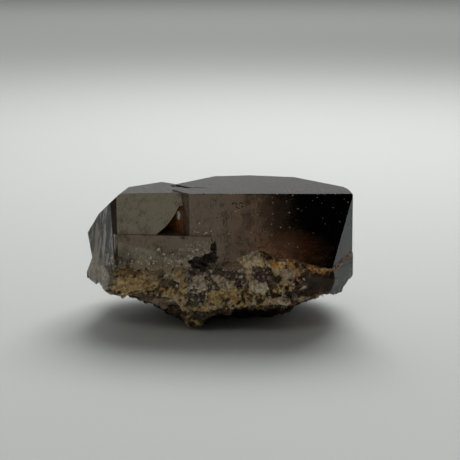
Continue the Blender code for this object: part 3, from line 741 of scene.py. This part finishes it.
def crystal():
    tags = ("face", "recess", "break", "under", "scoop", "mark", "pearl")
    tag = {k: bpy.data.materials.new("tag_" + k) for k in tags}
    keep = []

    def cutter(obj):
        bpy.context.scene.collection.objects.link(obj)
        keep.append(obj)
        return obj

    body = convex("crystal", BIG, mat=tag["face"], bevel=0.10)
    bpy.context.scene.collection.objects.link(body)

    def apply(obj, operation, share, host=None):
        """Cuts or joins one solid; the result must be closed and change by share at most."""
        host = host or body
        before = volume(host.data)
        for nudge in (0.0, 0.013, -0.021, 0.034, -0.045):
            obj.location += Vector((0.4 * nudge, 0.0, nudge))
            mod = host.modifiers.new(obj.name, "BOOLEAN")
            mod.operation, mod.solver, mod.object = operation, "EXACT", obj
            mod.material_mode = "TRANSFER"
            mod.use_hole_tolerant = nudge != 0.0
            dg = bpy.context.evaluated_depsgraph_get()
            mesh = bpy.data.meshes.new_from_object(host.evaluated_get(dg))
            host.modifiers.clear()
            after = volume(mesh)
            change = after / before - 1.0
            print(obj.name, nudge, round(after, 3), open_edges(mesh))
            if min(0.0, share) - 0.003 < change < max(0.0, share) + 0.003 and open_edges(mesh) == 0:
                host.data = mesh
                return
        print("left out", obj.name)

    def scoop(name, centre, radii, amount, seed, level, turn=0.0):
        apply(cutter(ball(name, centre, radii, amount, seed, level, tag["scoop"], turn)),
              "DIFFERENCE", -0.01)

    recess = cutter(convex("recess_cut", RECESS, mat=tag["recess"]))
    bpy.ops.mesh.primitive_cylinder_add(vertices=160, radius=CORE_RADIUS, depth=90)
    core = bpy.context.active_object
    core.name = "recess_core"
    core.data.materials.append(tag["recess"])
    core.rotation_euler = (math.pi / 2, 0, 0)
    core.location = (CORE_CENTRE[0] + SHIFT[0], 0, CORE_CENTRE[1] + SHIFT[2])
    keep.append(core)
    apply(core, "DIFFERENCE", -0.9, recess)

    apply(cutter(convex("lobe", LOBE, mat=tag["face"], bevel=0.08)), "UNION", 0.4)
    apply(cutter(convex("wall_strip", WALL_STRIP, mat=tag["face"])), "DIFFERENCE", -0.01)
    apply(recess, "DIFFERENCE", -0.01)
    # a small bump on the recess wall whose pale colour is a painted highlight, the glint there
    apply(cutter(ball("pearl", (-12.5, -17.0, 34.8), (0.5, 0.6, 1.5), 0.12, 3.0, 3, tag["pearl"])),
          "UNION", 0.002)
    apply(cutter(convex("plate", PLATE, mat=tag["face"], bevel=0.06)), "UNION", 0.02)
    apply(cutter(convex("base", BASE, mat=tag["face"])), "UNION", 0.7)
    apply(cutter(convex("corner", CORNER, mat=tag["face"])), "DIFFERENCE", -0.01)
    for share in range(4):
        apply(cutter(mark_cutter(tag["mark"], share)), "DIFFERENCE", -0.001)
    for line in (("crack", 10.4, 25.3, 4.6, 2.5, 0.16, lambda x, z: front_plane_y(z)),
                 ("crack_left", -29.6, 22.9, 2.7, 2.1, 0.13, plate_y),
                 ("crack_low", -4.2, 24.4, 3.6, 0.5, 0.07, lambda x, z: front_plane_y(z))):
        apply(cutter(crack_cutter(tag["mark"], *line)), "DIFFERENCE", -0.001)
    for args in (("rear_chip", (35.5, 14.5, 29.5), (15.0, 13.0, 12.5), 0.9, 4.0, 6),
                 ("junction_crack", (-12.4, -8.9, 42.2), (4.3, 1.0, 1.9), 0.3, 6.0, 5, -0.66),
                 ("junction_line", (-7.4, -10.8, 42.1), (3.4, 0.3, 0.8), 0.1, 6.0, 4, -0.05)):
        scoop(*args)
    scoop("crescent", (-6.0, -23.3, 21.2), (4.0, 2.8, 2.3), 0.95, 2.0, 5)
    scoop("crescent_mid", (-3.4, -23.0, 23.0), (2.5, 2.1, 2.0), 0.80, 9.0, 5, 0.3)
    scoop("crescent_horn", (-1.9, -22.3, 25.6), (1.0, 1.5, 2.4), 0.55, 5.0, 5)
    apply(cutter(sheet_cutter("front_break", 400, 118, front_place(fine_front),
                              lambda c: (c.x, -60, c.z), tag["break"])), "DIFFERENCE", -0.12)
    apply(cutter(sheet_cutter("under_break", 210, 140, under_place(fine_under),
                              lambda c: (c.x, c.y, -50), tag["under"])), "DIFFERENCE", -0.43)

    mesh = body.data
    drop_splinters(mesh)
    mesh.transform(Matrix.Scale(MM, 4))
    piece = bpy.data.objects.new("smoky_quartz", mesh)
    bpy.context.scene.collection.objects.link(piece)
    for o in [body] + keep:
        bpy.data.objects.remove(o, do_unlink=True)

    names = [m.name[4:] for m in mesh.materials]
    unit = {k: Vector(n).normalized() for k, n in
            (("front", FRONT_N), ("lobe", LOBE_N), ("band", (-0.50, -0.83, 0.27)),
             ("left", LEFT[1]), ("wall", (-0.74, -0.66, 0.116)), ("top", (0, 0, 1)),
             ("slope", SLOPE[1]), ("plate", (-0.030, -0.975, 0.215)),
             ("corner", (0.80, -0.60, -0.113)), ("ledge", LEDGE_N),
             ("step", (0.46, -0.62, 0.66)))}
    # colour of the veil under each kind of face and how thick it lies
    veils = {"front": (0.52, 0.405, 0.305, 1.0), "lobe": (0.70, 0.60, 0.44, 1.0),
             "band": (0.24, 0.17, 0.12, 0.4), "left": (0.56, 0.555, 0.51, 0.90),
             "wall": (0.36, 0.24, 0.155, 0.60), "top": (0.30, 0.285, 0.27, 0.06),
             "slope": (0.33, 0.32, 0.29, 0.5), "plate": (0.53, 0.43, 0.32, 1.0),
             "corner": (0.36, 0.33, 0.30, 0.30), "ledge": (0.26, 0.20, 0.14, 0.6),
             "step": (0.62, 0.50, 0.38, 1.0), None: (0.33, 0.28, 0.22, 0.5)}

    mesh.attributes.new("stain", "FLOAT_COLOR", "CORNER")
    mesh.attributes.new("film", "FLOAT_COLOR", "CORNER")
    mesh.attributes.new("broken", "FLOAT", "FACE")
    cache = {}
    inv = 1.0 / MM
    cols = [0.0] * (4 * len(mesh.loops))
    films = [0.0] * (4 * len(mesh.loops))
    brk = [0.0] * len(mesh.polygons)
    for p in mesh.polygons:
        n = names[p.material_index]
        f = (0.0, 0.0, 0.0, 0.0)
        if n in ("break", "under"):
            brk[p.index] = 1.0
            f = (0.37, 0.265, 0.17, 0.72) if n == "break" else (0.14, 0.10, 0.07, 0.15)
            for li in p.loop_indices:
                vi = mesh.loops[li].vertex_index
                if vi not in cache:
                    cache[vi] = stain_at(mesh.vertices[vi].co * inv - Vector(SHIFT))
                cols[4 * li:4 * li + 4] = cache[vi]
        elif n == "scoop":
            brk[p.index] = 0.5
            f = (0.20, 0.125, 0.08, 0.30)
        elif n == "recess":
            brk[p.index] = 0.2
            f = (0.66, 0.27, 0.10, 0.72)
        elif n == "pearl":
            # painted highlight: the pale film and stain of the glint bump on the recess wall
            f = (0.80, 0.74, 0.64, 1.0)
            for li in p.loop_indices:
                cols[4 * li:4 * li + 4] = (0.85, 0.80, 0.70, 0.85)
        elif n == "mark":
            brk[p.index] = 0.7
            q = p.center * inv - Vector(SHIFT)
            dark = 3.2 < q.x < 7.4 and q.z > 37.2 or 11.6 < q.x < 13.3 and q.z > 35.8
            if not dark and noise.cell_vector(q * 0.9).x > 0.35:
                pale = 0.62 - 0.40 * smooth(10.0, 22.0, q.x)
                for li in p.loop_indices:
                    cols[4 * li:4 * li + 4] = (pale, 0.86 * pale, 0.70 * pale, 0.75)
        elif n == "face":
            best = max(unit, key=lambda k: unit[k].dot(p.normal))
            f = veils[best if unit[best].dot(p.normal) > 0.985 else None]
            low = p.center * inv - Vector(SHIFT)
            if best == "step" and unit[best].dot(p.normal) > 0.985:
                for li in p.loop_indices:
                    cols[4 * li:4 * li + 4] = (0.50, 0.37, 0.26, 0.65)
            elif low.x < -33.0 and low.z < 20.5 and low.y < 2.0:
                for li in p.loop_indices:
                    cols[4 * li:4 * li + 4] = (0.46, 0.36, 0.24, 0.42)
        for li in p.loop_indices:
            films[4 * li:4 * li + 4] = f
        p.use_smooth = False
    mesh.attributes["stain"].data.foreach_set("color", cols)
    mesh.attributes["film"].data.foreach_set("color", films)
    mesh.attributes["broken"].data.foreach_set("value", brk)
    for p in mesh.polygons:
        p.material_index = 0
    mesh.materials.clear()
    mesh.materials.append(quartz_material())
    for m in tag.values():
        bpy.data.materials.remove(m)
    mesh.update()
    return piece


piece = crystal()
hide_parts("smoky_quartz_crystal")
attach(piece, "root")
print("crystal faces", len(piece.data.polygons),
      "triangles", sum(len(p.vertices) - 2 for p in piece.data.polygons))


# ================================================================ what is sealed in it
def speck_material(name, colour, roughness, spread=0.35):
    mat = bpy.data.materials.new(name)
    nt, bsdf = nodes_of(mat)
    coord = node(nt, "ShaderNodeTexCoord").outputs["Object"]
    cell = node(nt, "ShaderNodeTexVoronoi", {"Vector": coord, "Scale": 900.0})
    pick = node(nt, "ShaderNodeSeparateColor", {0: cell.outputs["Color"]})
    tone = fade(nt, pick.outputs[0], 0.0, 1.0, 1.0 - spread, 1.0 + spread)
    nt.links.new(blend(nt, 1.0, colour, grey(nt, tone), "MULTIPLY"), bsdf.inputs["Base Color"])
    bsdf.inputs["Roughness"].default_value = roughness
    return mat


class Dice:
    """Repeatable numbers between 0 and 1."""

    def __init__(self, seed):
        self.seed, self.n = seed, 0

    def __call__(self):
        self.n += 1
        return noise.cell_vector(Vector((self.n * 1.0 + 0.5, self.seed + 0.5, 0.5))).x


def flakes(name, sheets, mat, seed):
    """Veils of tiny flat flakes on wavy sheets: (count, centre, u, v, wave, size)."""
    dice = Dice(seed)
    bm = bmesh.new()
    for count, centre, u, v, wave, size in sheets:
        c, u, v = Vector(centre), Vector(u), Vector(v)
        n = u.cross(v).normalized()
        done = 0
        while done < count:
            a, b = 2 * dice() - 1, 2 * dice() - 1
            if a * a + b * b > 1:
                continue
            done += 1
            q = c + u * a + v * b
            q += n * wave * noise.noise(q * 0.16 + Vector((seed, 0, 0))) * 2.0
            if noise.noise(q * 0.30 + Vector((0, seed, 0))) < -0.12:
                continue
            r = size * (0.5 + 1.2 * dice() ** 3)
            tilt = Vector((dice() - 0.5, dice() - 0.5, dice() - 0.5)) * 0.9
            m = (n + tilt).normalized()
            e1 = m.orthogonal().normalized()
            e2 = m.cross(e1)
            k = 5
            ring = [bm.verts.new(q + (e1 * math.cos(t) + e2 * math.sin(t)) * r * (0.6 + 0.7 * dice()))
                    for t in (6.283 * j / k for j in range(k))]
            bm.faces.new(ring)
    return to_object(name, bm, mat, MM)


def keep_inside(obj, margin):
    """Drops the flakes that are not at least margin under the crystal's skin."""
    from mathutils.bvhtree import BVHTree
    me = piece.data
    tree = BVHTree.FromPolygons([v.co for v in me.vertices], [p.vertices[:] for p in me.polygons])
    bm = bmesh.new()
    bm.from_mesh(obj.data)
    gone = []
    for f in bm.faces:
        c = f.calc_center_median()
        hit, nrm, _, dist = tree.find_nearest(c)
        if hit is None or (c - hit).dot(nrm) > 0 or dist < margin:
            gone.append(f)
    bmesh.ops.delete(bm, geom=gone, context="FACES")
    bm.to_mesh(obj.data)
    bm.free()


def inside(obj, margin=0.0002):
    bpy.context.scene.collection.objects.link(obj)
    keep_inside(obj, margin)
    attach(obj, "root")
    print(obj.name, len(obj.data.polygons))
    return obj


inside(flakes("veil_flakes", (
    (1500, (-21, -17.3, 35.5), (9.5, 0, 0), (0, 1.9, 5.4), 0.35, 0.10),
    (1500, (1, -19.7, 31.5), (13, 0, 0), (0, 1.5, 8.6), 0.45, 0.10),
    (900, (-14, -20.4, 26.0), (15, 0, 0), (0, 0.8, 3.2), 0.5, 0.12),
    (400, (-34, -10.0, 27), (3.0, 4.0, 0), (0, 1.0, 8), 1.0, 0.12),
    (300, (15.5, -19.3, 35), (0.4, 0.8, 0), (0.2, 1.2, 6.5), 0.2, 0.09),
), speck_material("veil_grains", (0.62, 0.54, 0.44), 0.35), 3.0), 0.0004)
inside(flakes("amber_flakes", (
    (1100, (20, -20.8, 26.0), (8.5, 0, 0), (0, 0.8, 4.5), 0.5, 0.11),
    (500, (28, -20.6, 24.0), (6.0, 0, 0), (0, 0.6, 3.0), 0.6, 0.11),
), speck_material("amber_grains", (0.62, 0.26, 0.06), 0.45), 8.0), 0.0004)

# ================================================================ stage, light, camera
scene = bpy.context.scene


def plain(name, colour, roughness=0.8):
    mat = bpy.data.materials.new(name)
    nt, bsdf = nodes_of(mat)
    bsdf.inputs["Base Color"].default_value = (*colour, 1)
    bsdf.inputs["Roughness"].default_value = roughness
    bsdf.inputs["Specular IOR Level"].default_value = 0.2
    return mat


bm = bmesh.new()
bmesh.ops.create_grid(bm, x_segments=1, y_segments=1, size=3.0)
mesh = bpy.data.meshes.new("floor")
bm.to_mesh(mesh)
bm.free()
floor = bpy.data.objects.new("floor", mesh)
floor.data.materials.append(plain("floor_pale", (0.625, 0.655, 0.65)))
scene.collection.objects.link(floor)

# a soft room: bright behind and overhead, dim in front, where a viewer stands
world = bpy.data.worlds.new("studio")
scene.world = world
world.use_nodes = True
wt = world.node_tree
bg = wt.nodes["Background"]
way = node(wt, "ShaderNodeTexCoord").outputs["Generated"]
axes = node(wt, "ShaderNodeSeparateXYZ", {0: way})
back = fade(wt, axes.outputs[1], -0.25, 0.50, WORLD_FRONT, WORLD_BACK)
up = fade(wt, axes.outputs[2], 0.1, 0.9, 1.0, WORLD_UP)
facing = node(wt, "ShaderNodeVectorMath", {0: way, 1: (0.10, -0.99, 0.02)}, operation="DOT_PRODUCT")
dark = fade(wt, facing.outputs["Value"], 0.86, 0.97, 1.0, WORLD_DARK)
level = calc(wt, "MULTIPLY", calc(wt, "MULTIPLY", back, up), dark)
bg.inputs["Color"].default_value = (1.0, 0.99, 0.965, 1)
wt.links.new(level, bg.inputs["Strength"])


def area(name, place, aim, size, power, colour=(1, 1, 1)):
    data = bpy.data.lights.new(name, "AREA")
    data.shape = "RECTANGLE"
    data.size, data.size_y = size
    data.energy = power
    data.color = colour
    o = bpy.data.objects.new(name, data)
    o.location = place
    o.rotation_euler = (Vector(aim) - Vector(place)).to_track_quat("-Z", "Y").to_euler()
    scene.collection.objects.link(o)
    return o


area("overhead", (0.10, 0.36, 0.54), (0, 0, 0.02), (0.50, 0.30), LAMP, (1.0, 0.985, 0.96))
area("fill", (-0.10, -0.34, 0.66), (0, 0, 0.02), (0.40, 0.30), FILL, (1.0, 0.98, 0.95))
area("rear", (0, 1.3, 1.1), (0, 1.3, 0), (2.0, 1.0), REAR, (1.0, 0.99, 0.97))

cam_data = bpy.data.cameras.new("camera")
cam_data.angle = math.radians(26.0)
cam_data.clip_start = 0.01
cam_data.clip_end = 20
cam = bpy.data.objects.new("camera", cam_data)
cam.location = ((2.948 + SHIFT[0]) * MM, (-307.0 + SHIFT[1]) * MM, 110.63 * MM)
cam.rotation_euler = (math.radians(90 - 15.5), 0, 0)
scene.collection.objects.link(cam)
scene.camera = cam

scene.view_settings.view_transform = "Standard"
